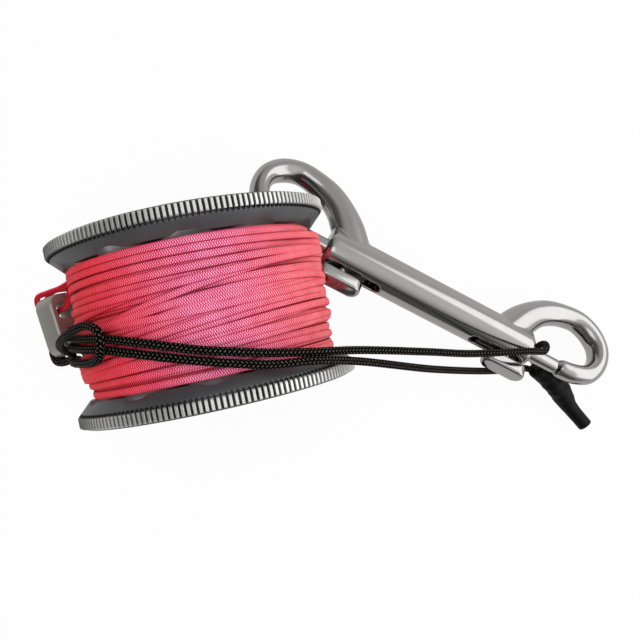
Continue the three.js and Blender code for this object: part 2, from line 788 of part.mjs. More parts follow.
addPart(spoolGroup, "spool_half_socket", spoolHalf(false), mouldedGrey);
const lowerHalf = addPart(spoolGroup, "spool_half_spigot", spoolHalf(true), mouldedGrey);
lowerHalf.rotation.x = Math.PI;
addPart(spoolGroup, "line_core", lineCore(), pinkLine);
addPart(spoolGroup, "line_winding", tapered(winding, winding.places(), () => lineDiameter / 2, lineSides), pinkLine);
console.log("least gap of the line to itself", leastGap(winding, lineDiameter, woundLoops * loopSteps).toFixed(2), "mm");

// The snap's far hook comes down to the surface that the rims lie on
const snapGroup = new THREE.Group();
const bodySolid = snapBody();
const bodyGeometry = geometryOf(bodySolid);
let high = rad(-2);
let low = rad(-14);
for (let i = 0; i < 24; i++) {
  const drop = (high + low) / 2;
  const placed = bodyGeometry.clone().applyMatrix4(snapFrame(drop));
  placed.computeBoundingBox();
  if (placed.boundingBox.min.z < -flangeRadius) low = drop;
  else high = drop;
}
snapGroup.applyMatrix4(snapFrame(high));
spoolGroup.add(snapGroup);
addPart(snapGroup, "snap_body", bodySolid, polishedSteel);
const gateSolid = gate();
const studSolid = stud();
addPart(snapGroup, "right_gate", gateSolid, polishedSteel);
addPart(snapGroup, "right_thumb_stud", studSolid, polishedSteel);
const springSolid = spring();
addPart(snapGroup, "right_spring", springSolid, springSteel);
addPart(snapGroup, "left_gate", mirrored(gateSolid), polishedSteel);
addPart(snapGroup, "left_thumb_stud", mirrored(studSolid), polishedSteel);
addPart(snapGroup, "left_spring", mirrored(springSolid), springSteel);

// The link stands on edge beside the pack, its length along the spool's axis
const linkGroup = new THREE.Group();
const windowAxis = vec(Math.sin(rad(linkTilt)), 0, Math.cos(rad(linkTilt)));
const lengthAxis = vec(0, 1, 0);
const lean = new THREE.Matrix4().makeRotationZ(rad(linkLean));
const upright = new THREE.Matrix4().makeBasis(lengthAxis, windowAxis.clone().cross(lengthAxis), windowAxis);
linkGroup.applyMatrix4(lean.multiply(upright));
linkGroup.position.set(-linkOut, linkAlong, -linkBelow);
spoolGroup.add(linkGroup);
addPart(linkGroup, "line_link", linkPlate(), satinSteel);
const freeEnd = vec(gateEnd, 0, 0).applyMatrix4(snapGroup.matrix);
const cordPoints = fitted(cordRoute, freeEnd);
addPart(spoolGroup, "line_tail", cord(fitted(tailRoute, freeEnd), lineDiameter, lineSides), pinkLine);
addPart(spoolGroup, "cord_loop", cord(cordPoints, cordDiameter, cordSides), blackCord);
addPart(spoolGroup, "knot_sleeve", sleeve(fitted(sleeveRoute, freeEnd), cordPoints), blackSleeve);

// The origin goes under the middle of everything but the free cord
const group = new THREE.Group();
group.add(spoolGroup);
group.updateMatrixWorld(true);
const reach = new THREE.Box3();
group.traverse((piece) => {
  if (piece.isMesh && !["cord_loop", "knot_sleeve", "line_tail"].includes(piece.name)) reach.expandByObject(piece, true);
});
spoolGroup.position.x = -(reach.min.x + reach.max.x) / 2;
spoolGroup.position.y = -(reach.min.y + reach.max.y) / 2;
spoolGroup.position.z = flangeRadius - reach.min.z;
console.log("free end at", freeEnd.toArray().map((v) => v.toFixed(3)).join(" "));
console.log("snap drops", THREE.MathUtils.radToDeg(-high).toFixed(2), "degrees");
console.log("snap matrix", snapGroup.matrix.elements.map((v) => v.toFixed(4)).join(" "));
console.log("spool middle at", spoolGroup.position.toArray().map((v) => v.toFixed(3)).join(" "));
export default group;
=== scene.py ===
# The looks of a finger spool: a knurled two flange spool full of braided line, a double ended bolt
# snap hooked through one flange, and a black cord loop tied to the steel link at the line's end.
# Metres, +Z up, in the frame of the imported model. The spool lies on its rims, its axis along Y.
import math
import bpy
import numpy as np
from mathutils import Matrix, Vector


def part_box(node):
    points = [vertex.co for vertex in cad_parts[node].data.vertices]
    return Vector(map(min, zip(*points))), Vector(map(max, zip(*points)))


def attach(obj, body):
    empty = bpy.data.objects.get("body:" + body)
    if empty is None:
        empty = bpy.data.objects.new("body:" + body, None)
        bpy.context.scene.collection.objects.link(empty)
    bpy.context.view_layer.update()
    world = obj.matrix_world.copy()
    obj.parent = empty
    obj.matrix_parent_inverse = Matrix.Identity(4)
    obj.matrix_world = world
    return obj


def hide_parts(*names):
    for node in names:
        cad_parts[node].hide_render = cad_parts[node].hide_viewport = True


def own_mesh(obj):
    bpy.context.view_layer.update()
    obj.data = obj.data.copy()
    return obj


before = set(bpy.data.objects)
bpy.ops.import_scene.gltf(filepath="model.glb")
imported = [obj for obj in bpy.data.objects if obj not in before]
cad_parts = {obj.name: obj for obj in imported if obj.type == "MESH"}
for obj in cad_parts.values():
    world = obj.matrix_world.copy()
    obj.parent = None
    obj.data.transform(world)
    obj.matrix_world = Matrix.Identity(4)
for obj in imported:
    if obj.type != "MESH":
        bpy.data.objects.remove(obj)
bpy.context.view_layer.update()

MM = 0.001
socket_low, socket_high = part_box("spool_half_socket")
spigot_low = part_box("spool_half_spigot")[0]
spool_middle = Vector((
    (socket_low.x + socket_high.x) / 2,
    (spigot_low.y + socket_high.y) / 2,
    (socket_low.z + socket_high.z) / 2,
))


# Camera

CAMERA_RIGHT = Vector((0.97899, -0.20389, 0.0007))
CAMERA_BACK = Vector((0.0, 0.0034, 1.0))
CAMERA_STAND = Vector((29.53, -7.71, 184.95)) * MM  # from the spool's middle
CAMERA_NEAR = 0.01
CAMERA_FAR = 10.0
SENSOR_WIDTH = 36.0
LENS_LENGTH = 39.434


def add_camera():
    """The photograph's own view, from above and slightly turned."""
    right = CAMERA_RIGHT.normalized()
    back = (CAMERA_BACK - right * CAMERA_BACK.dot(right)).normalized()
    up = back.cross(right)
    lens = bpy.data.cameras.new("camera")
    lens.sensor_width = SENSOR_WIDTH
    lens.lens = LENS_LENGTH
    lens.clip_start = CAMERA_NEAR
    lens.clip_end = CAMERA_FAR
    camera = bpy.data.objects.new("camera", lens)
    bpy.context.collection.objects.link(camera)
    facing = Matrix((right, up, back)).transposed().to_4x4()
    camera.matrix_world = Matrix.Translation(spool_middle + CAMERA_STAND) @ facing
    bpy.context.scene.camera = camera


add_camera()


# Routes, in metres from the spool's middle, as the part's source gives them

CORD_ROUTE = [
    (0.0952, -0.041, -0.0289),
    (0.0931, -0.0383, -0.0278),
    (0.0909, -0.0353, -0.0265),
    (0.08927, -0.0324, -0.02484),
    (0.08992, -0.03024, -0.02353),
    (0.09148, -0.02879, -0.02124),
    (0.09219, -0.0286, -0.01916),
    (0.09187, -0.02933, -0.01711),
    (0.09065, -0.03017, -0.01557),
    (0.0882, -0.0297, -0.0129),
    (0.0846, -0.0287, -0.0094),
    (0.0667, -0.0252, -0.001),
    (0.0555, -0.0221, 0.005),
    (0.037, -0.0172, 0.017),
    (0.0266, -0.0151, 0.0246),
    (0.0172, -0.0131, 0.0295),
    (0.0102, -0.0113, 0.0325),
    (0.0029, -0.0093, 0.034),
    (-0.0035, -0.0072, 0.0339),
    (-0.0098, -0.0051, 0.0327),
    (-0.0197, -0.0023, 0.0278),
    (-0.0262, -0.0012, 0.0218),
    (-0.0299, -0.0004, 0.0163),
    (-0.0331, 0.0004, 0.0092),
    (-0.03451, 0.00132, 0.0022),
    (-0.03624, 0.00128, -0.0014),
    (-0.04028, 0.0004, -0.0034),
    (-0.043, -0.0014, -0.0051),
    (-0.0426, -0.0048, -0.0049),
    (-0.03866, -0.00546, -0.0021),
    (-0.03563, -0.00419, 0.0015),
    (-0.036, -0.0026, 0.006),
    (-0.0344, -0.0015, 0.0126),
    (-0.0309, -0.0002, 0.0194),
    (-0.0259, 0.0009, 0.0253),
    (-0.0218, 0.0011, 0.0285),
    (-0.0187, -0.0008, 0.0312),
    (-0.0186, -0.0034, 0.0314),
    (-0.0202, -0.0063, 0.0292),
    (-0.0234, -0.0072, 0.0253),
    (-0.0275, -0.0069, 0.0204),
    (-0.0313, -0.0064, 0.0139),
    (-0.03411, -0.0059, 0.0058),
    (-0.03535, -0.00549, -0.0014),
    (-0.03807, -0.0053, -0.0052),
    (-0.04177, -0.00458, -0.0075),
    (-0.04192, -0.00118, -0.0074),
    (-0.03911, 0.00073, -0.0056),
    (-0.03484, 0.00104, -0.0035),
    (-0.03423, -0.0009, 0.0002),
    (-0.0336, -0.00198, 0.0055),
    (-0.0317, -0.0026, 0.0125),
    (-0.0263, -0.0037, 0.0217),
    (-0.0201, -0.0048, 0.0275),
    (-0.0104, -0.0076, 0.0325),
    (-0.004, -0.0096, 0.0339),
    (0.0024, -0.0116, 0.034),
    (0.0096, -0.0137, 0.0329),
    (0.0167, -0.0156, 0.0304),
    (0.0265, -0.017, 0.0262),
    (0.0364, -0.0198, 0.017),
    (0.0552, -0.0268, 0.001),
    (0.0707, -0.0318, -0.0146),
    (0.0755, -0.0331, -0.0189),
    (0.0805, -0.0342, -0.0226),
    (0.0855, -0.0348, -0.026),
    (0.0894, -0.0364, -0.0289),
    (0.0922, -0.039, -0.0306),
    (0.0947, -0.0418, -0.0319),
]
SLEEVE_ROUTE = [
    (0.0906, -0.0359, -0.0278),
    (0.0946, -0.0402, -0.0301),
    (0.0978, -0.045, -0.0321),
    (0.0999, -0.0502, -0.0334),
    (0.1038, -0.0574, -0.0337),
]
TAIL_ROUTE = [
    (-0.03175, 0.0154, 0.0039),
    (-0.0326, 0.015, 0.0008),
    (-0.03694, 0.01403, -0.0022),
    (-0.04057, 0.01364, -0.0032),
    (-0.04392, 0.01299, -0.0044),
    (-0.04436, 0.01053, -0.0052),
    (-0.04212, 0.00835, -0.0044),
    (-0.03938, 0.00814, -0.0032),
    (-0.03614, 0.00895, -0.0019),
    (-0.03467, 0.01099, -0.0017),
    (-0.03473, 0.01319, -0.0029),
    (-0.038, 0.0141, -0.0048),
    (-0.0411, 0.01385, -0.00695),
    (-0.0433, 0.0114, -0.0087),
    (-0.0421, 0.0091, -0.0079),
    (-0.03995, 0.0082, -0.0068),
]

ROUTE_STEPS = 24  # between each two points of a route
CORD_SPACING = 0.0006  # between the points that a piece follows
SLEEVE_SPACING = 0.0003
TAIL_SPACING = 0.0004

CORD_DIAMETER = 0.002
CORD_STITCH = 0.001
LINE_STITCH = 0.00057
LINE_WIDE = 0.00094  # half a strand's width and thickness, pressed a little flat
LINE_HIGH = 0.00062
TAIL_WIDE = 0.00082  # the same where the line's end lies loose
TAIL_HIGH = 0.00074


def through(points, steps):
    """A centripetal curve through points, with as many steps between each two of them."""
    route = np.array(points, float)
    route = np.vstack([2 * route[0] - route[1], route, 2 * route[-1] - route[-2]])
    dense = []
    for a, b, c, d in zip(route, route[1:], route[2:], route[3:]):
        t0 = 0.0
        t1 = t0 + np.linalg.norm(b - a) ** 0.5
        t2 = t1 + np.linalg.norm(c - b) ** 0.5
        t3 = t2 + np.linalg.norm(d - c) ** 0.5
        for t in np.linspace(t1, t2, steps, endpoint=False):
            ab = (t1 - t) / (t1 - t0) * a + (t - t0) / (t1 - t0) * b
            bc = (t2 - t) / (t2 - t1) * b + (t - t1) / (t2 - t1) * c
            cd = (t3 - t) / (t3 - t2) * c + (t - t2) / (t3 - t2) * d
            abc = (t2 - t) / (t2 - t0) * ab + (t - t0) / (t2 - t0) * bc
            bcd = (t3 - t) / (t3 - t1) * bc + (t - t1) / (t3 - t1) * cd
            dense.append((t2 - t) / (t2 - t1) * abc + (t - t1) / (t2 - t1) * bcd)
    dense.append(route[-2])
    return np.array(dense)


def run_along(points):
    """How far along the line each point lies."""
    return np.concatenate([[0.0], np.cumsum(np.linalg.norm(np.diff(points, axis=0), axis=1))])


def even_points(points, spacing):
    """The same line, with points one spacing apart."""
    run = run_along(points)
    count = max(2, int(round(run[-1] / spacing)) + 1)
    at = np.linspace(0.0, run[-1], count)
    return np.stack([np.interp(at, run, points[:, k]) for k in range(3)], axis=1)


def smooth_route(points, spacing):
    """A route in the frame of the model, its points evenly spaced."""
    return even_points(through(points, ROUTE_STEPS) + np.array(spool_middle), spacing)


def blurred(values, width):
    """The same values, each evened out with its neighbours over a width of points."""
    weights = np.hanning(width)
    return np.convolve(np.pad(values, width // 2, mode="edge"), weights / weights.sum(), mode="valid")


def circle(count):
    return np.arange(count) / count * 2 * math.pi


def tangents(points):
    along = np.gradient(points, axis=0)
    return along / np.linalg.norm(along, axis=1)[:, None]


def carried_normals(points):
    """A sideways direction at each point that turns as little as it can."""
    along = tangents(points)
    side = np.cross(along[0], [0.0, 0.0, 1.0])
    if np.linalg.norm(side) < 0.2:
        side = np.cross(along[0], [0.0, 1.0, 0.0])
    sides = []
    for direction in along:
        side = side - direction * side.dot(direction)
        side = side / np.linalg.norm(side)
        sides.append(side)
    return np.array(sides)


def bare_piece(name, points, faces=(), edges=()):
    mesh = bpy.data.meshes.new(name)
    mesh.from_pydata(np.array(points, float).tolist(), list(edges), list(faces))
    mesh.update()
    piece = bpy.data.objects.new(name, mesh)
    bpy.context.collection.objects.link(piece)
    return piece


def tube_rings(points, half_wide, half_high, corners, across, squared):
    """Rings across a line, upright along the directions given, or turning as little as they can."""
    along = tangents(points)
    high = carried_normals(points) if across is None else across
    high = high - along * (high * along).sum(1)[:, None]
    high = high / np.linalg.norm(high, axis=1)[:, None]
    wide = np.cross(along, high)
    half_wide = np.broadcast_to(half_wide, len(points))
    half_high = np.broadcast_to(half_high, len(points))
    turn = circle(corners)
    sideways = np.sign(np.cos(turn)) * np.abs(np.cos(turn)) ** squared
    upwards = np.sign(np.sin(turn)) * np.abs(np.sin(turn)) ** squared
    return (
        points[:, None, :]
        + wide[:, None, :] * (sideways[None, :] * half_wide[:, None])[:, :, None]
        + high[:, None, :] * (upwards[None, :] * half_high[:, None])[:, :, None]
    )


def map_stitches(mesh, run, corners):
    """A map on a tube's sides: stitches along it, shares of a turn round it."""
    share = np.arange(corners) / corners
    u = np.stack([run[:-1], run[:-1], run[1:], run[1:]], axis=-1)
    u = np.repeat(u[:, None, :], corners, axis=1)
    v = np.stack([share, share + 1 / corners, share + 1 / corners, share], axis=-1)
    v = np.repeat(v[None], len(run) - 1, axis=0)
    values = np.zeros((len(mesh.loops), 2), np.float32)
    values[: u.size] = np.stack([u, v], axis=-1).reshape(-1, 2)
    mesh.uv_layers.new(name="along").data.foreach_set("uv", values.ravel())


def woven_tube(name, points, half_wide, half_high, stitch, corners=12, across=None, squared=1.0):
    """A closed tube along points, mapped for its braid."""
    rings = tube_rings(points, half_wide, half_high, corners, across, squared)
    corner = np.arange(len(points) * corners).reshape(len(points), corners)
    a = corner[:-1]
    b = np.roll(corner, -1, axis=1)[:-1]
    sides = np.stack([a, b, b + corners, a + corners], axis=-1).reshape(-1, 4).tolist()
    ends = [corner[0][::-1].tolist(), corner[-1].tolist()]
    piece = bare_piece(name, rings.reshape(-1, 3), sides + ends)
    map_stitches(piece.data, run_along(points) / stitch, corners)
    for polygon in piece.data.polygons:
        polygon.use_smooth = len(polygon.vertices) == 4
    return piece


# Black cord loop with its sleeve, and the line's tail round the link

SLEEVE_HALF = 0.0036  # at its thickest
SLEEVE_SHARES = [0.84, 0.9, 0.98, 1.0, 0.9, 0.7, 0.65, 0.64]
SLEEVE_EVEN = 13  # points over which its thickness is evened out
SLEEVE_SINK = 0.00006
SLEEVE_CORNERS = 36
NECK_SHARES = [0.86, 0.95]
KNOT_END = 0.68
KNOT_LONG = 0.6

cord_path = smooth_route(CORD_ROUTE, CORD_SPACING)
cord_half = CORD_DIAMETER / 2
cord_piece = woven_tube("black_cord", cord_path, cord_half, cord_half, CORD_STITCH, corners=14)
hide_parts("cord_loop")
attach(cord_piece, "spool")

sleeve_path = smooth_route(SLEEVE_ROUTE, SLEEVE_SPACING)


def make_sleeve():
    """Shrunk tube over the knot: lumpy over the knot's crossings, drawn in at its neck."""
    run = np.linspace(0.0, 1.0, len(sleeve_path))
    half = np.interp(run, np.linspace(0, 1, len(SLEEVE_SHARES)), SLEEVE_SHARES) * SLEEVE_HALF
    half = blurred(half, SLEEVE_EVEN) - SLEEVE_SINK
    half[: len(NECK_SHARES)] *= NECK_SHARES
    piece = woven_tube("knot_sleeve_skin", sleeve_path, half, half, CORD_STITCH, corners=SLEEVE_CORNERS)
    place = np.array([vertex.co for vertex in piece.data.vertices])
    axis = np.repeat(sleeve_path, SLEEVE_CORNERS, axis=0)
    run = np.repeat(run, SLEEVE_CORNERS)
    angle = np.tile(circle(SLEEVE_CORNERS), len(sleeve_path))
    swell = np.sin(math.pi * np.clip((KNOT_END - run) / KNOT_LONG, 0, 1)) ** 0.8
    lumps = 0.045 * np.sin(2 * angle + 9 * run) + 0.03 * np.sin(3 * angle - 17 * run + 1.3)
    ridges = 0.02 * np.sin(46 * run + 1.5 * np.sin(angle))
    fullness = 0.97 + (lumps * swell + ridges * (0.3 + swell)) * 0.8
    place = axis + (place - axis) * fullness[:, None]
    for vertex, point in zip(piece.data.vertices, place):
        vertex.co = point
    piece.data.update()
    return piece


sleeve_piece = make_sleeve()
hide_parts("knot_sleeve")
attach(sleeve_piece, "spool")

tail_path = smooth_route(TAIL_ROUTE, TAIL_SPACING)
tail_piece = woven_tube("line_tail_braid", tail_path, TAIL_WIDE, TAIL_HIGH, LINE_STITCH, corners=12)
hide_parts("line_tail")
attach(tail_piece, "spool")


# Wound line

PACK_CORE = 0.0291  # radius under the turns that show
PACK_FIRM = 0.0308  # turns whose middle lies above this are pulled in
PACK_END = 0.01535  # how far the outermost turns lie from the middle
PACK_MOST = 0.03305  # how far the top strands may stand out, by the cord
PACK_EASE = 0.0008  # the last stretch up to that, over which they flatten
PULL = 0.48  # share of its height by which a raised turn is pulled in
PULL_RIGHT = 0.27  # and more of it on the right
BULGE = 0.0009  # of the right side, about a place along the axis
BULGE_AT = -0.003
BULGE_HALF = 0.009
SIDE_ROOM = 0.0011  # more height at the sides, and away from the cord
FAR_ROOM = 0.0006
FAR_FROM = 0.002
FAR_OVER = 0.003
GATE_DENT = 0.007
GATE_DENT_FROM = 0.007
GATE_DENT_TO = 0.0164
GATE_ANGLE = math.radians(-17)
GATE_SPREAD = math.radians(15)
STUD_DENT = 0.0023
STUD_DENT_AT = 0.0046
STUD_DENT_HALF = 0.0028
STUD_ANGLE = math.radians(-11)
STUD_SPREAD = math.radians(8)
LINE_LEAVES = math.radians(172)
LINE_WANDER = 0.00013
LINE_BEDDED = 0.00016  # how far a strand sinks between those below
EVEN_RISE = 9  # points over which its height is evened out
PER_TURN = 96
FIRST_DRAWN = 15
GRID_CELL = 0.0002
GRID_HALF = 0.0166
# Each row: turn number, middle of the turn along the axis, and how far it slants, in mm
TURNS = [
    (0, -15.3, 0.0), (15, 15.3, 0.0), (16, 15.3, 0.0), (31, -15.3, 0.1), (32, -14.9, 0.3),
    (33, -11.2, 1.6), (34, -7.6, 3.2), (35, -4.4, 4.8), (36, -1.8, 5.4), (37, -4.6, 4.0),
    (38, -8.6, 2.2), (39, -9.8, 1.4), (40, -7.9, 2.4), (41, -6.0, 3.6), (42, -4.0, 4.7),
    (43, -1.9, 4.9), (44, 0.2, 3.8), (45, 2.6, 2.2), (46, 5.2, 0.8), (47, 7.6, 0.2), (48, 5.4, 3.4),
    (49, 1.8, 6.2), (50, -1.2, -2.4), (51, 3.4, 5.2), (52, 7.4, 1.6), (53, 9.6, 0.6), (54, 11.6, 0.2),
    (55, 13.5, 0.1), (56, 15.4, 0.0),
]


def dent_at(y, turn):
    """How deep the snap's gate and stud press into the pack, as in the part's source."""
    def hill(offset, half):
        return np.exp(-((offset / half) ** 2))

    def off(angle):
        return np.angle(np.exp(1j * (turn - angle)))

    along = np.maximum(0.0, y - GATE_DENT_FROM) / (GATE_DENT_TO - GATE_DENT_FROM)
    gate = GATE_DENT * along ** 1.5 * hill(off(GATE_ANGLE), GATE_SPREAD)
    stud = STUD_DENT * hill(y - STUD_DENT_AT, STUD_DENT_HALF) * hill(off(STUD_ANGLE), STUD_SPREAD)
    return np.maximum(gate, stud)


def strand_run():
    """Where the strand goes, point by point: its angle round the axis and its place along it."""
    chance = np.random.default_rng(7)
    rows = np.array(TURNS)
    last = int(rows[-1, 0])
    number = np.arange(last * PER_TURN + 1) / PER_TURN
    middle = blurred(np.interp(number, rows[:, 0], rows[:, 1]) * MM, PER_TURN // 2 + 1)
    slant = np.interp(number, rows[:, 0], rows[:, 2]) * MM
    turn = LINE_LEAVES + (number - last) * 2 * math.pi
    halves = np.arange(2 * last + 1) / 2
    wander = np.interp(number, halves, chance.normal(0, LINE_WANDER, len(halves)))
    y = middle - slant * np.sin(turn - math.pi / 2 + 0.25 * np.sin(number)) + wander
    return turn, np.clip(y, -PACK_END, PACK_END)


def piled_up(y):
    """How far out the strand lies, each turn resting on those below it."""
    width = int(round(2 * GRID_HALF / GRID_CELL)) + 1
    reach = int(LINE_WIDE / GRID_CELL)
    offsets = np.arange(-reach, reach + 1)
    arch = LINE_HIGH * np.sqrt(np.maximum(0, 1 - (offsets * GRID_CELL / LINE_WIDE) ** 2))
    top = np.full((PER_TURN, width), PACK_CORE)
    radius = np.zeros(len(y))
    column = np.arange(len(y)) % PER_TURN
    cell = np.clip(np.round((y + GRID_HALF) / GRID_CELL).astype(int), reach, width - reach - 1)
    laps = len(y) // PER_TURN
    for lap in range(laps):
        span = np.arange(lap * PER_TURN, (lap + 1) * PER_TURN + (lap == laps - 1))
        under = top[column[span][:, None], cell[span][:, None] + offsets[None, :]]
        rest = (under + arch[None, :]).max(axis=1) - LINE_BEDDED
        lifted = np.array([rest[max(0, i - 2): i + 3].max() for i in range(len(rest))])
        radius[span] = blurred(lifted, EVEN_RISE)
        for i in span:
            here = slice(cell[i] - reach, cell[i] + reach + 1)
            top[column[i], here] = np.maximum(top[column[i], here], radius[i] + arch)
    return radius


def pulled_in(radius, turn, y):
    """Turns that lie high are pulled in, less so at the sides, and never reach the cord."""
    sides = np.abs(np.cos(turn)) ** 3 * np.where(np.cos(turn) > 0, 1.0, 0.3)
    right = np.clip(np.cos(turn), 0.0, 1.0) ** 3
    raised = np.maximum(0.0, radius - PACK_FIRM)
    radius = radius - raised * (PULL + PULL_RIGHT * right)
    radius = radius + BULGE * right * np.exp(-(((y - BULGE_AT) / BULGE_HALF) ** 2))
    most = PACK_MOST + SIDE_ROOM * sides + FAR_ROOM * np.clip((y - FAR_FROM) / FAR_OVER, 0, 1)
    over = np.maximum(0.0, radius - (most - LINE_HIGH - PACK_EASE))
    radius = radius - over + PACK_EASE * (1 - np.exp(-over / PACK_EASE))
    return blurred(radius, EVEN_RISE)


def wind_line():
    """Points along the strand and the direction outwards at each."""
    turn, y = strand_run()
    radius = pulled_in(piled_up(y), turn, y) - dent_at(y, turn)
    out = np.stack([np.cos(turn), np.zeros_like(turn), np.sin(turn)], axis=1)
    points = out * radius[:, None]
    points[:, 1] = y
    drawn = slice(FIRST_DRAWN * PER_TURN, None)
    return points[drawn] + np.array(spool_middle), out[drawn]


pack_points, pack_out = wind_line()
pack_piece = woven_tube(
    "wound_line", pack_points, LINE_WIDE, LINE_HIGH, LINE_STITCH, corners=14, across=pack_out, squared=0.8,
)
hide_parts("line_winding")
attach(pack_piece, "spool")


# Ways of modelling by hand

def select_only(*pieces):
    if bpy.context.object and bpy.context.object.mode != "OBJECT":
        bpy.ops.object.mode_set(mode="OBJECT")
    bpy.ops.object.select_all(action="DESELECT")
    for piece in pieces:
        piece.hide_viewport = False
        piece.select_set(True)
    bpy.context.view_layer.objects.active = pieces[0]


def apply_modifier(piece, kind, **settings):
    select_only(piece)
    modifier = piece.modifiers.new(kind.lower(), kind)
    for key, value in settings.items():
        setattr(modifier, key, value)
    bpy.ops.object.modifier_apply(modifier=modifier.name)


def settle(piece):
    """Puts a piece's place into its mesh."""
    select_only(piece)
    bpy.ops.object.transform_apply(location=True, rotation=True, scale=True)


def merged_copy(node, name):
    """A copy of a solid with its loose triangles joined, its flat faces made whole."""
    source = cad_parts[node]
    piece = bpy.data.objects.new(name, source.data.copy())
    piece.data.materials.clear()
    bpy.context.collection.objects.link(piece)
    select_only(piece)
    bpy.ops.object.mode_set(mode="EDIT")
    bpy.ops.mesh.select_all(action="SELECT")
    bpy.ops.mesh.remove_doubles(threshold=0.000002)
    bpy.ops.mesh.dissolve_limited(angle_limit=math.radians(0.6))
    bpy.ops.object.mode_set(mode="OBJECT")
    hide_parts(node)
    return piece


def smooth_all(piece):
    select_only(piece)
    bpy.ops.object.shade_smooth()


def smooth_by_angle(piece, degrees):
    select_only(piece)
    bpy.ops.object.shade_smooth_by_angle(angle=math.radians(degrees))


def broken_edges(piece, width, degrees, segments):
    apply_modifier(
        piece, "BEVEL", width=width, segments=segments, limit_method="ANGLE",
        angle_limit=math.radians(degrees), use_clamp_overlap=True, miter_outer="MITER_ARC",
    )


def facing_out(piece):
    select_only(piece)
    bpy.ops.object.mode_set(mode="EDIT")
    bpy.ops.mesh.select_all(action="SELECT")
    bpy.ops.mesh.normals_make_consistent(inside=False)
    bpy.ops.object.mode_set(mode="OBJECT")


def lofted(name, rings, endless=False):
    """A closed skin through rings of equally many points: flat ends, or the last ring to the first."""
    rings = np.array(rings, float)
    count, corners = rings.shape[:2]
    corner = np.arange(count * corners).reshape(count, corners)
    a = corner if endless else corner[:-1]
    b = np.roll(a, -1, axis=1)
    after = np.roll(corner, -1, axis=0)[: len(a)]
    sides = np.stack([a, b, np.roll(after, -1, axis=1), after], axis=-1).reshape(-1, 4).tolist()
    ends = [] if endless else [corner[0][::-1].tolist(), corner[-1].tolist()]
    piece = bare_piece(name, rings.reshape(-1, 3), sides + ends)
    facing_out(piece)
    return piece


def joined(first, *others):
    select_only(first, *others)
    bpy.ops.object.join()
    return first


def cut_by(piece, cutter, operation="DIFFERENCE"):
    apply_modifier(piece, "BOOLEAN", operation=operation, solver="EXACT", object=cutter)
    bpy.data.objects.remove(cutter, do_unlink=True)


# Spool halves, in mm as radius and place along the axis, the half's seam at 0

RIM = 36.0
GROOVE = 35.05
KNURLS = 172
TOOTH_EDGE = 0.05  # how far the lands' edges are rounded off
TOOTH_SHARES = [0.0, 0.34, 0.42, 0.46, 0.9, 0.94]
TOOTH_RADII = [GROOVE, GROOVE, RIM - TOOTH_EDGE, RIM, RIM, RIM - TOOTH_EDGE]
BAND_SEAT = 34.6
BAND_LOW = 19.5
BAND_HIGH = 22.5
BAND_TUCK = 0.1
BAND_EDGE = 0.2
CHAMFER_FROM = 35.45
CHAMFER_LIFT = 0.12
HOLES = 11
HOLE_CIRCLE = 27.2
HOLE = 6.0
HOLE_SLACK = 0.3
HOLE_WALL = (16.3, 18.85)
DRILL_MIDDLE = 19.0
DRILL_LONG = 12
SNAP_HOLE = math.radians(-17)
FLANGE_EDGE = 0.22
FLANGE_CREASE = 28  # in degrees
FLANGE = [
    (16.2, 0.15), (16.2, 16.4), (32.35, 16.4), (35.0, 19.05), (35.0, 22.5), (34.6, 22.9), (33.2, 22.9),
    (32.7, 18.8), (18.7, 18.8), (18.2, 22.5), (17.8, 22.9), (14.2, 22.9), (13.0, 21.7),
]
SOCKET = [(13.0, 7.3), (14.75, 7.3), (14.75, 0.15)]
SPIGOT = [(13.0, -7.0), (14.45, -7.0), (14.45, 0.15)]


def turned(name, profile, steps=252):
    """Spins an outline round the spool's axis."""
    count = len(profile)
    ring = [(i, (i + 1) % count) for i in range(count)]
    piece = bare_piece(name, [(r * MM, y * MM, 0.0) for r, y in profile], edges=ring)
    select_only(piece)
    bpy.ops.object.mode_set(mode="EDIT")
    bpy.ops.mesh.select_all(action="SELECT")
    bpy.ops.mesh.spin(steps=steps, angle=2 * math.pi, center=(0.0, 0.0, 0.0), axis=(0.0, 1.0, 0.0))
    bpy.ops.mesh.select_all(action="SELECT")
    bpy.ops.mesh.remove_doubles(threshold=0.00001)
    bpy.ops.mesh.normals_make_consistent(inside=False)
    bpy.ops.object.mode_set(mode="OBJECT")
    return piece


def knurl_band(name):
    """The ring of teeth: flat lands with steep sided grooves, cut off by the rim's chamfer."""
    r = np.tile(TOOTH_RADII, KNURLS)
    turn = np.add.outer(np.arange(KNURLS), TOOTH_SHARES).ravel() / KNURLS * 2 * math.pi

    def ring(radius, y):
        return np.stack([np.cos(turn) * radius, y + 0 * turn, np.sin(turn) * radius], axis=1) * MM

    soft = np.minimum(r, RIM - BAND_EDGE)
    chamfer = BAND_LOW + r - CHAMFER_FROM
    return lofted(name, [
        ring(BAND_SEAT, BAND_LOW + BAND_TUCK),
        ring(soft, chamfer - (r - soft)),
        ring(r, chamfer + CHAMFER_LIFT),
        ring(r, BAND_HIGH - BAND_EDGE),
        ring(soft, BAND_HIGH),
        ring(BAND_SEAT, BAND_HIGH - BAND_TUCK),
    ], endless=True)


def hole_drills():
    """Round bars where the flange's holes go, as one piece."""
    drills = []
    for i in range(HOLES):
        turn = SNAP_HOLE + i / HOLES * 2 * math.pi
        place = (math.cos(turn) * HOLE_CIRCLE * MM, DRILL_MIDDLE * MM, math.sin(turn) * HOLE_CIRCLE * MM)
        bpy.ops.mesh.primitive_cylinder_add(
            vertices=72, radius=HOLE * MM, depth=DRILL_LONG * MM, location=place,
            rotation=(math.pi / 2, 0.0, 0.0),
        )
        drills.append(bpy.context.object)
    drill = joined(*drills)
    settle(drill)
    return drill


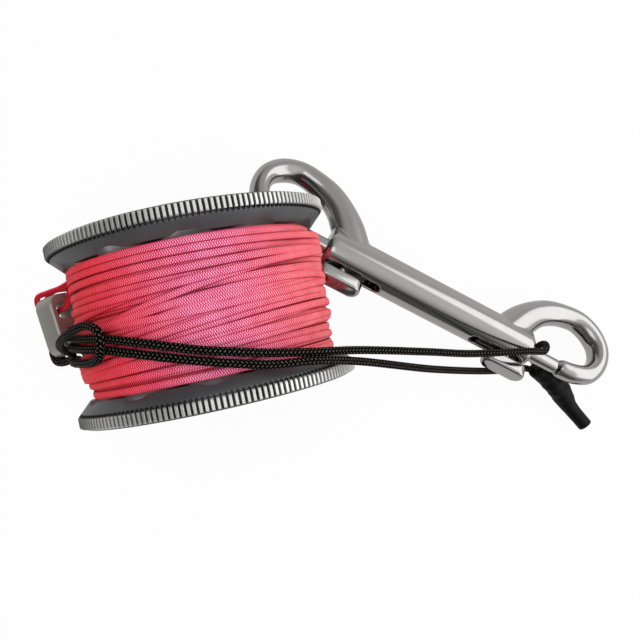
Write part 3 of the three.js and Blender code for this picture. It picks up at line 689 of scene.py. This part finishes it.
def mark_hole_walls(half):
    """The holes' walls take the half's second material."""
    for polygon in half.data.polygons:
        middle = polygon.center / MM
        r = math.hypot(middle.x, middle.z)
        near = (math.atan2(middle.z, middle.x) - SNAP_HOLE) / (2 * math.pi) * HOLES
        off = math.hypot(r - HOLE_CIRCLE, (near - round(near)) * 2 * math.pi / HOLES * r)
        between = HOLE_WALL[0] < middle.y < HOLE_WALL[1] and abs(polygon.normal.y) < 0.95
        polygon.material_index = int(off < HOLE + HOLE_SLACK and between)


def spool_half(name, joint, node, flip):
    half = turned(name, FLANGE + joint)
    cut_by(half, hole_drills())
    broken_edges(half, FLANGE_EDGE * MM, degrees=FLANGE_CREASE, segments=2)
    half = joined(half, knurl_band(name + "_knurl"))
    smooth_by_angle(half, FLANGE_CREASE)
    mark_hole_walls(half)
    if flip:
        half.rotation_euler = (math.pi, 0.0, 0.0)
    half.location = spool_middle
    settle(half)
    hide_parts(node)
    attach(half, "spool")
    return half


upper_flange = spool_half("upper_flange", SOCKET, "spool_half_socket", False)
lower_flange = spool_half("lower_flange", SPIGOT, "spool_half_spigot", True)


# Turns under the outer line, and the link

LINK_EDGE = 0.0003

inner_turns = merged_copy("line_core", "inner_turns")
smooth_by_angle(inner_turns, 40)
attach(inner_turns, "spool")

link_piece = merged_copy("line_link", "cast_link")
broken_edges(link_piece, LINK_EDGE, degrees=30, segments=3)
smooth_by_angle(link_piece, 40)
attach(link_piece, "spool")


# Snap, in its own frame in mm: along the body, towards the hooks, across them

SNAP_ALONG = (0.7731, -0.6172, -0.1462)
SNAP_RISE = (0.4670, 0.7099, -0.5271)
SNAP_ACROSS = (0.4292, 0.3393, 0.8371)
SNAP_MIDDLE = (61.0402, -9.2853, -15.2125)  # from the middle of the spool
BARREL = 5.3
SPINE = 3.9
SPINE_RISE = 3.0
NOSE = 33.5
NOSE_ROUND = 1.8
MOUTH = 43.4
MOUTH_HALF = 2.7
MOUTH_END_SHARES = [0.74, 0.88, 0.95, 0.985]
OUTER_ROOT = (20.1, 4.24, 0.0)
INNER_ROOT = (31.155, 2.12, 0.0)
EYE = (46.8, 9.9)
HOOK = 13.3
HOOK_TURNS = [-75, -44, -13, 18, 49, 80, 110, 141, 172]
OUTER_SHARES = [0.937, 0.987, 0.99, 1.0, 0.982, 0.957, 0.973, 1.17, 1.568]
INNER_SHARES = [0.5, 0.545, 0.565, 0.54, 0.472, 0.464, 0.455, 0.528, 0.744]
HOOK_DEEP = [2.9, 3.6, 3.6, 4.3]  # half across, from the mouth to the root
HOOK_DEEP_SHARES = [0, 0.25, 0.5, 1]
# Bars and cutters along the snap: rows of place and radius
BORE = [(3.0, 2.5), (36.0, 2.5)]
CUP = [(41.4, 2.3), (44.3, 2.3)]
GATE = [(18.5, 1.8), (18.8, 2.2), (42.6, 2.2), (43.1, 2.08), (43.6, 1.7), (43.9, 1.2), (44.0, 0.7)]
# Upright ones: rows of rise and radius
SLOT = [(-9.0, 1.9), (0.0, 1.9)]
SLOT_MIDDLE = 23.05
SLOT_STRAIGHT = 6.35
SHANK = [(-6.8, 1.6), (-2.5, 1.6)]
PEG = [(-2.8, 1.0), (-0.6, 1.0)]
STUD_AT = 26.7
PAD_UNDER = -6.3
PAD_TOP = -10.2
PAD_HALF = 2.8
PAD_ROUND = 1.0
PAD_STRAIGHT = 4.0
CASTING_GRAIN = 0.27
CASTING_ROUNDS = 7


def hook_edge(shares, mouth, root):
    turn = np.radians(HOOK_TURNS)
    reach = HOOK * np.array(shares)
    arc = np.stack([EYE[0] + np.cos(turn) * reach, EYE[1] + np.sin(turn) * reach, 0 * turn], axis=1)
    return through([(MOUTH, mouth, 0.0), *arc, root], 12)


def hook_skin(name):
    outer = hook_edge(OUTER_SHARES, -MOUTH_HALF, OUTER_ROOT)
    inner = hook_edge(INNER_SHARES, MOUTH_HALF, INNER_ROOT)
    across = np.interp(np.linspace(0, 1, len(outer)), HOOK_DEEP_SHARES, HOOK_DEEP)
    turn = circle(36)
    middle = (outer + inner) / 2
    half = (outer - inner) / 2
    rings = middle[:, None] + half[:, None] * np.cos(turn)[None, :, None]
    rings[:, :, 2] += across[:, None] * np.sin(turn)[None, :]
    for i, share in enumerate(MOUTH_END_SHARES):
        rings[i] = middle[i] + (rings[i] - middle[i]) * share
    return lofted(name, rings)


def body_skin(name):
    """The body's egg shaped section, round the barrel and round the spine, with rounded ends."""
    turn = circle(64)
    side, rise = np.cos(turn), np.sin(turn)
    spine = SPINE_RISE * rise + SPINE > BARREL
    quarter = np.linspace(0, math.pi / 2, 7)[::-1]
    rounding = [(1 - math.sin(q), 1 - math.cos(q)) for q in quarter]
    ends = [(-NOSE + NOSE_ROUND * back, NOSE_ROUND * inset) for back, inset in rounding]
    rings = []
    for u, inset in ends + [(-u, inset) for u, inset in ends[::-1]]:
        r = np.where(spine, SPINE, BARREL) - inset
        rings.append(np.stack([u + 0 * turn, np.where(spine, SPINE_RISE, 0.0) + r * rise, r * side], axis=1))
    return lofted(name, rings)


def rod(name, stations, count=48):
    """A turned rod along the snap: rows of place and radius."""
    turn = circle(count)
    return lofted(name, [
        np.stack([u + 0 * turn, np.sin(turn) * r, np.cos(turn) * r], axis=1) for u, r in stations
    ])


def upright(name, u, stations, straight=0.0, count=48):
    """A rod or an oblong pad across the snap's back: rows of rise and radius."""
    turn = circle(count)
    shift = np.where(np.cos(turn) >= 0, straight, -straight)
    return lofted(name, [
        np.stack([u + shift + np.cos(turn) * r, v + 0 * turn, np.sin(turn) * r], axis=1) for v, r in stations
    ])


def mirrored(piece):
    """Turns a piece end for end."""
    for vertex in piece.data.vertices:
        vertex.co.x = -vertex.co.x
    piece.data.flip_normals()
    return piece


def placed(piece):
    """From the snap's frame in mm to the model's."""
    turn = Matrix((SNAP_ALONG, SNAP_RISE, SNAP_ACROSS)).transposed().to_4x4()
    middle = spool_middle + Vector(SNAP_MIDDLE) * MM
    piece.data.transform(Matrix.Translation(middle) @ turn @ Matrix.Scale(MM, 4))
    piece.data.update()
    return piece


def cast_body():
    """The body with a hook, a bore, a cup and a slot at each end, melted into one smooth casting."""
    casting = body_skin("snap_casting")
    for turned_round in (False, True):
        shapes = [
            (hook_skin("hook"), "UNION"),
            (rod("bore", BORE), "DIFFERENCE"),
            (rod("cup", CUP), "DIFFERENCE"),
            (upright("slot", SLOT_MIDDLE, SLOT, straight=SLOT_STRAIGHT), "DIFFERENCE"),
        ]
        for shape, operation in shapes:
            cut_by(casting, mirrored(shape) if turned_round else shape, operation)
    apply_modifier(casting, "REMESH", mode="VOXEL", voxel_size=CASTING_GRAIN, adaptivity=0.0)
    apply_modifier(casting, "SMOOTH", factor=0.5, iterations=CASTING_ROUNDS)
    smooth_all(casting)
    return placed(casting)


def thumb_stud(side):
    """A rounded oblong pad on a shank, with a peg that goes into the gate."""
    quarter = np.linspace(0, math.pi / 2, 6)
    rounding = [(PAD_ROUND * (1 - math.cos(q)), PAD_ROUND * (1 - math.sin(q))) for q in quarter]
    rows = [(PAD_UNDER - down, PAD_HALF - inset) for down, inset in rounding]
    rows += [(PAD_TOP + down, PAD_HALF - inset) for down, inset in rounding[::-1]]
    return joined(
        upright(side + "_stud_knob", STUD_AT, rows, straight=PAD_STRAIGHT, count=64),
        upright("shank", STUD_AT, SHANK),
        upright("peg", STUD_AT, PEG),
    )


snap_casting = cast_body()
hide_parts("snap_body")
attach(snap_casting, "spool")

steel_pieces = [snap_casting]
for side in ("right", "left"):
    body = side + "_bolt"
    bolt = rod(side + "_gate_bolt", GATE)
    thumb = thumb_stud(side)
    for piece, node in ((bolt, "_gate"), (thumb, "_thumb_stud")):
        if side == "left":
            mirrored(piece)
        placed(piece)
        smooth_by_angle(piece, 40)
        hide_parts(side + node)
        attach(piece, body)
        steel_pieces.append(piece)
    coil = merged_copy(side + "_spring", side + "_spring_coil")
    apply_modifier(coil, "SUBSURF", levels=1, render_levels=1)
    smooth_all(coil)
    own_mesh(coil)
    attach(coil, "spool")
    steel_pieces.append(coil)


# Materials

WHITE = (1.0, 1.0, 1.0, 1.0)
# Where the painted sheen on the pink line is strongest and how far it spreads, and where the painted light
# towards the right is full.
PAINTED_SHEEN_AT = 0.007  # right of the spool's middle
PAINTED_SHEEN_HALF = 0.016
PAINTED_LIGHT_END = 0.032
INNER_STEP = 0.0013  # between the inner turns, outwards and along the axis
INNER_ROW = 0.0019
INNER_END = 0.0158
LAND_FROM = 0.0352
LAND_TO = 0.0358
GROOVE_FROM = 0.03502
GROOVE_TO = 0.03504
MARKS_TURN = math.radians(38.6)


class Wire:
    """A number or colour on a socket, on which Python's signs write the shader's maths."""

    def __init__(self, board, socket):
        self.board = board
        self.socket = socket

    def __add__(self, other):
        return self.board.maths("ADD", self, other)

    def __radd__(self, other):
        return self.board.maths("ADD", other, self)

    def __sub__(self, other):
        return self.board.maths("SUBTRACT", self, other)

    def __rsub__(self, other):
        return self.board.maths("SUBTRACT", other, self)

    def __mul__(self, other):
        return self.board.maths("MULTIPLY", self, other)

    def __rmul__(self, other):
        return self.board.maths("MULTIPLY", other, self)

    def beside(self, name):
        """Another socket on the same side of the same node."""
        return Wire(self.board, self.socket.node.outputs[name])


class Board:
    """The nodes of one finish, or of the room."""

    def __init__(self, owner):
        owner.use_nodes = True
        self.owner = owner
        self.tree = owner.node_tree

    @property
    def shader(self):
        return self.tree.nodes["Principled BSDF"]

    def node(self, kind, settings=None, inputs=None, out=0):
        made = self.tree.nodes.new(kind)
        for key, value in (settings or {}).items():
            setattr(made, key, value)
        for key, value in (inputs or {}).items():
            self.feed(made.inputs[key], value)
        return Wire(self, made.outputs[out])

    def feed(self, socket, value):
        if isinstance(value, Wire):
            self.tree.links.new(value.socket, socket)
        else:
            socket.default_value = value

    def set(self, socket, value):
        self.feed(self.shader.inputs[socket], value)

    def maths(self, operation, *values):
        return self.node("ShaderNodeMath", {"operation": operation}, dict(enumerate(values)))

    def place(self):
        """Object coordinates."""
        return self.node("ShaderNodeTexCoord", out="Object")

    def parts_of(self, vector):
        split = self.node("ShaderNodeSeparateXYZ", None, {0: vector})
        return [split.beside(axis) for axis in "XYZ"]

    def stretched(self, vector, scale, turn=0.0):
        """A pattern's place, scaled, and turned about the upright."""
        inputs = {"Vector": vector, "Scale": scale, "Rotation": (0.0, 0.0, turn)}
        return self.node("ShaderNodeMapping", None, inputs)

    def grain(self, vector, scale, detail):
        inputs = {"Vector": vector, "Scale": scale, "Detail": detail, "Roughness": 0.55}
        return self.node("ShaderNodeTexNoise", None, inputs)

    def step(self, value, low, high, from_value=0.0, to_value=1.0):
        """A soft step of a value from one number to another."""
        inputs = {0: value, 1: low, 2: high, 3: from_value, 4: to_value}
        return self.node("ShaderNodeMapRange", {"interpolation_type": "SMOOTHSTEP"}, inputs)

    def blend(self, share, first, second):
        return self.node("ShaderNodeMix", {"data_type": "RGBA"}, {0: share, 6: first, 7: second}, out=2)

    def bump(self, height, strength, distance, before=None):
        inputs = {"Height": height, "Strength": strength, "Distance": distance}
        if before is not None:
            inputs["Normal"] = before
        return self.node("ShaderNodeBump", None, inputs)


def new_finish(name, **values):
    """The board of a new finish, with the plain values of its shader."""
    board = Board(bpy.data.materials.new(name))
    for socket, value in values.items():
        board.set(socket.replace("_", " "), value)
    return board


def colour(red, green, blue):
    """A colour from 0 to 255 as on screen, as the shader takes it."""
    def straight(value):
        value = value / 255
        return value / 12.92 if value <= 0.04045 else ((value + 0.055) / 1.055) ** 2.4
    return (straight(red), straight(green), straight(blue), 1.0)


def braid_map(board):
    """How far along a strand a place lies, in stitches, and its share of the way round."""
    run, share, _ = board.parts_of(board.node("ShaderNodeUVMap", {"uv_map": "along"}))
    return run, share


def braid(board, run, share, rows):
    """Short stitches in rows along a strand, each row half a stitch on from the next and
    slanted the other way: how far a place stands up, 0 to 1."""
    across = board.maths("SINE", share * (2 * math.pi * rows))
    lean = board.maths("ABSOLUTE", board.maths("SINE", share * (math.pi * rows))) * 0.5
    return (board.maths("SINE", (run + lean) * (2 * math.pi)) * across + 1.0) * 0.5


def from_axis(board, x, z):
    """How far a place lies from the spool's axis."""
    along = x - spool_middle.x
    rise = z - spool_middle.z
    return board.maths("SQRT", along * along + rise * rise)


def pink_braid():
    """Coral line: a painted sheen makes the pack's middle more pink and lighter, painted light lightens its
    right, and the stitches carry painted highlights and painted shade.
    """
    board = new_finish("braided_pink_line", Sheen_Weight=0.03, Specular_IOR_Level=0.1)
    run, share = braid_map(board)
    height = braid(board, run, share, 5)
    where = board.place()
    x = board.parts_of(where)[0]
    # Painted sheen in the middle of the pack and painted light towards its right, as colour.
    from_painted_sheen = (x - (spool_middle.x + PAINTED_SHEEN_AT)) * (1 / PAINTED_SHEEN_HALF)
    painted_sheen = board.maths("EXPONENT", 0 - from_painted_sheen * from_painted_sheen)
    painted_light_right = board.step(x, spool_middle.x, spool_middle.x + PAINTED_LIGHT_END)

    def painted_light_blend(left, right, middle):
        return board.blend(painted_sheen, board.blend(painted_light_right, left, right), middle)

    base = painted_light_blend(colour(255, 40, 54), colour(255, 92, 100), colour(240, 90, 136))
    # The weave's own stitches, with a painted highlight on their crests and painted shade in their hollows.
    bright = painted_light_blend(colour(255, 96, 104), colour(255, 164, 160), colour(255, 190, 212))
    deep = board.blend(painted_sheen, colour(168, 8, 30), colour(160, 20, 88))
    mottled = height + (board.grain(where, 260.0, 2.0) - 0.5) * 0.3
    weave_painted_light = board.blend(board.step(mottled, 0.2, 0.5), deep, base)
    weave_painted_light = board.blend(board.step(mottled, 0.55, 0.85), weave_painted_light, bright)
    # Painted shade along the strands' edges, where they meet their neighbours.
    edge = board.maths("ABSOLUTE", board.maths("COSINE", share * (2 * math.pi)))
    painted_edge_shade = board.step(edge, 0.68, 0.94) * 0.75
    fuzz = board.grain(where, 5200.0, 2.0)
    board.set("Base Color", board.blend(painted_edge_shade, weave_painted_light, colour(168, 8, 36)))
    board.set("Roughness", 0.55 + 0.2 * (1 - height))
    board.set("Normal", board.bump(height + fuzz * 0.25, 0.4, 0.00012))
    return board.owner


def inner_pink():
    """Turns seen edge on at the pack's ends, and side by side between them."""
    board = new_finish("inner_pink_turns", Roughness=0.75)
    where = board.place()
    x, y, z = board.parts_of(where)
    axial = y - spool_middle.y
    rings = board.maths("ABSOLUTE", board.maths("SINE", from_axis(board, x, z) * (math.pi / INNER_STEP)))
    rows = board.maths("ABSOLUTE", board.maths("SINE", axial * (math.pi / INNER_ROW)))
    end = board.step(board.maths("ABSOLUTE", axial), INNER_END, INNER_END + 0.0002)
    height = rings * end + rows * (1 - end)
    noise = board.grain(where, 700.0, 3.0)
    # Painted shade: the hollows between the turns are coloured dark red, and their tops lighter.
    raised = board.step(height + (noise - 0.5) * 0.6, 0.05, 0.8)
    board.set("Base Color", board.blend(raised, colour(120, 8, 24), colour(226, 66, 82)))
    board.set("Normal", board.bump(height + noise * 0.3, 0.8, 0.0005))
    return board.owner


def black_braid():
    """Black cord with painted grey glints on the crests of its stitches."""
    board = new_finish("braided_black_cord", Specular_IOR_Level=0.02)
    height = braid(board, *braid_map(board), 4)
    speck = board.grain(board.place(), 1500.0, 2.0)
    # Painted highlight: grey glints on the stitches' crests.
    painted_glints = board.step(height + (speck - 0.5) * 0.4, 0.62, 1.0)
    board.set("Base Color", board.blend(painted_glints, colour(4, 4, 4), colour(98, 93, 85)))
    board.set("Roughness", 0.4 + 0.3 * (1 - height))
    board.set("Normal", board.bump(height + speck * 0.2, 0.6, 0.00015))
    return board.owner


def shrunk_black():
    """Matt black sleeve, finely wrinkled where it has shrunk."""
    board = new_finish("shrunk_black_sleeve", Specular_IOR_Level=0.15)
    where = board.place()
    wrinkle = board.grain(board.stretched(where, (1.0, 1.0, 1.4)), 420.0, 3.0)
    fine = board.grain(where, 2600.0, 3.0)
    board.set("Base Color", board.blend(fine, colour(3, 3, 4), colour(11, 10, 11)))
    board.set("Roughness", 0.42 + 0.25 * wrinkle)
    board.set("Normal", board.bump(wrinkle + fine * 0.15, 0.5, 0.0004))
    return board.owner


def grey_moulding():
    """Satin grey; on the knurled rim, light lands darkened towards the left end by painted shade, and
    grooves darkened by painted shade.
    """
    board = new_finish("satin_grey_moulding")
    where = board.place()
    cloud = board.grain(where, 60.0, 3.0)
    fine = board.grain(where, 3200.0, 3.0)
    x, _, z = board.parts_of(where)
    radius = from_axis(board, x, z)
    land = board.step(radius, LAND_FROM, LAND_TO)
    # Painted shade in the knurl's grooves, coloured near black.
    painted_groove_shade = board.step(radius, LAND_TO - 0.0001, LAND_FROM) * board.step(radius, GROOVE_FROM, GROOVE_TO)
    # Painted shade: the lands are painted darker towards the rim's left end, as if lit from the right.
    lit = board.step(x, spool_middle.x - 0.034, spool_middle.x - 0.020)
    grey = board.blend(cloud + (fine - 0.5) * 0.6, colour(64, 66, 67), colour(92, 94, 96))
    lands_painted_shade = board.blend(lit, colour(96, 96, 96), colour(214, 214, 212))
    board.set("Base Color", board.blend(painted_groove_shade, board.blend(land, grey, lands_painted_shade), colour(28, 29, 30)))
    board.set("Metallic", 0.35 + 0.45 * land)
    board.set("Roughness", 0.34 + 0.14 * cloud + 0.05 * fine)
    board.set("Normal", board.bump(fine, 0.15, 0.0001))
    return board.owner


def painted_light_hole_walls():
    """The holes' walls, painted lighter than the faces as painted light on them."""
    board = new_finish("painted_light_hole_walls", Metallic=0.4, Roughness=0.35)
    marks = board.grain(board.stretched(board.place(), (1.0, 8.0, 1.0)), 900.0, 2.0)
    # Painted light: the walls' greys are lighter than those of the faces.
    board.set("Base Color", board.blend(marks, colour(106, 109, 113), colour(150, 152, 154)))
    board.set("Normal", board.bump(marks, 0.2, 0.0001))
    return board.owner


def steel(name, tone, rough, drawn, strength, metallic=1.0):
    """Steel with faint polishing marks, finger smears and fine pits."""
    board = new_finish(name, Metallic=metallic)
    where = board.place()
    marks = board.grain(board.stretched(where, drawn, MARKS_TURN), 900.0, 4.0)
    smear = board.grain(where, 130.0, 3.0)
    pits = board.grain(where, 2400.0, 2.0)
    dark = tuple(channel * 0.86 for channel in tone[:3]) + (1.0,)
    board.set("Base Color", board.blend(smear, tone, dark))
    board.set("Roughness", rough + 0.05 * smear + 0.05 * marks)
    board.set("Normal", board.bump(pits, 0.12, 0.00005, board.bump(marks, strength, 0.00005)))
    return board.owner


def dress(piece, *materials):
    """Gives a piece its materials; its faces keep their material numbers."""
    numbers = [polygon.material_index for polygon in piece.data.polygons]
    piece.data.materials.clear()
    for material in materials:
        piece.data.materials.append(material)
    if len(materials) > 1:
        piece.data.polygons.foreach_set("material_index", numbers)


pink = pink_braid()
dress(pack_piece, pink)
dress(tail_piece, pink)
dress(inner_turns, inner_pink())
dress(cord_piece, black_braid())
dress(sleeve_piece, shrunk_black())
moulding = grey_moulding()
lit_hole_walls = painted_light_hole_walls()
dress(upper_flange, moulding, lit_hole_walls)
dress(lower_flange, moulding, lit_hole_walls)
polished = steel("polished_steel", colour(176, 175, 173), 0.11, (0.15, 1.0, 1.0), 0.05)
for piece in steel_pieces:
    dress(piece, polished)
dress(link_piece, steel("satin_steel", colour(172, 170, 162), 0.36, (1.0, 0.1, 1.0), 0.25, metallic=0.55))


# Studio

FLOOR_WIDE = 3.0
FLOOR_GREY = (0.8, 0.8, 0.8, 1.0)
FLOOR_SEEN = 0.95  # share of white that the camera sees on the floor; the rest keeps the shadow
FLOOR_MIRRORED = 0.93
FLOOR_DIMMED = 0.3  # how much darker the floor is in reflections


def add_floor():
    bpy.ops.object.select_all(action="DESELECT")
    bpy.ops.mesh.primitive_plane_add(size=FLOOR_WIDE, location=(0.0, 0.0, 0.0))
    floor = bpy.context.object
    floor.name = "studio_floor"
    board = new_finish("floor_white", Base_Color=FLOOR_GREY, Roughness=0.9)
    ray = board.node("ShaderNodeLightPath")
    mirrored_rays = ray.beside("Is Glossy Ray") + ray.beside("Is Transmission Ray")
    strength = 1.0 - mirrored_rays * FLOOR_DIMMED
    glow = board.node("ShaderNodeEmission", None, {"Color": WHITE, "Strength": strength})
    share = ray.beside("Is Camera Ray") * FLOOR_SEEN + mirrored_rays * FLOOR_MIRRORED
    plain = Wire(board, board.shader.outputs[0])
    mix = board.node("ShaderNodeMixShader", None, {0: share, 1: plain, 2: glow})
    board.feed(board.tree.nodes["Material Output"].inputs["Surface"], mix)
    dress(floor, board.owner)


def add_world():
    """White to the camera, plain for soft light, and a dim room with a window for reflections."""
    world = bpy.data.worlds.new("studio")
    bpy.context.scene.world = world
    board = Board(world)
    background = board.tree.nodes["Background"]
    x, y, z = board.parts_of(board.node("ShaderNodeTexCoord", out="Generated"))
    wall = board.step(x * 0.85 + y * 0.2 + z * 0.48, 0.0, 0.65, 0.12, 0.6)
    ceiling = board.step(z, 0.75, 0.95) * 0.1
    window = board.step(x * 0.92 - y * 0.25 + z * 0.3, 0.45, 0.85) * 0.4
    room = wall + ceiling + window
    plain = board.step(z, 0.0, 0.95, 0.69, 1.05) - board.step(0 - x, 0.1, 0.9) * 0.25
    ray = board.node("ShaderNodeLightPath")
    camera = ray.beside("Is Camera Ray")
    glossy = ray.beside("Is Glossy Ray")
    level = camera + (1 - camera) * (glossy * room + (1 - glossy) * plain)
    board.feed(background.inputs["Strength"], level)
    board.feed(background.inputs["Color"], WHITE)


def add_softbox(name, offset, size, power, aim):
    light = bpy.data.lights.new(name, "AREA")
    light.shape = "RECTANGLE"
    light.size, light.size_y = size
    light.energy = power
    lamp = bpy.data.objects.new(name, light)
    bpy.context.collection.objects.link(lamp)
    lamp.location = spool_middle + Vector(offset)
    toward = spool_middle + Vector(aim) - lamp.location
    lamp.rotation_euler = toward.to_track_quat("-Z", "Y").to_euler()


add_floor()
add_world()
add_softbox("overhead_softbox", (0.04, 0.02, 0.52), (0.26, 0.26), 0.25, aim=(0.03, 0.0, 0.0))
add_softbox("window_softbox", (0.474, -0.07, 0.15), (0.80, 0.34), 0.95, aim=(0.06, -0.01, 0.0))

bpy.context.scene.view_settings.view_transform = "Standard"
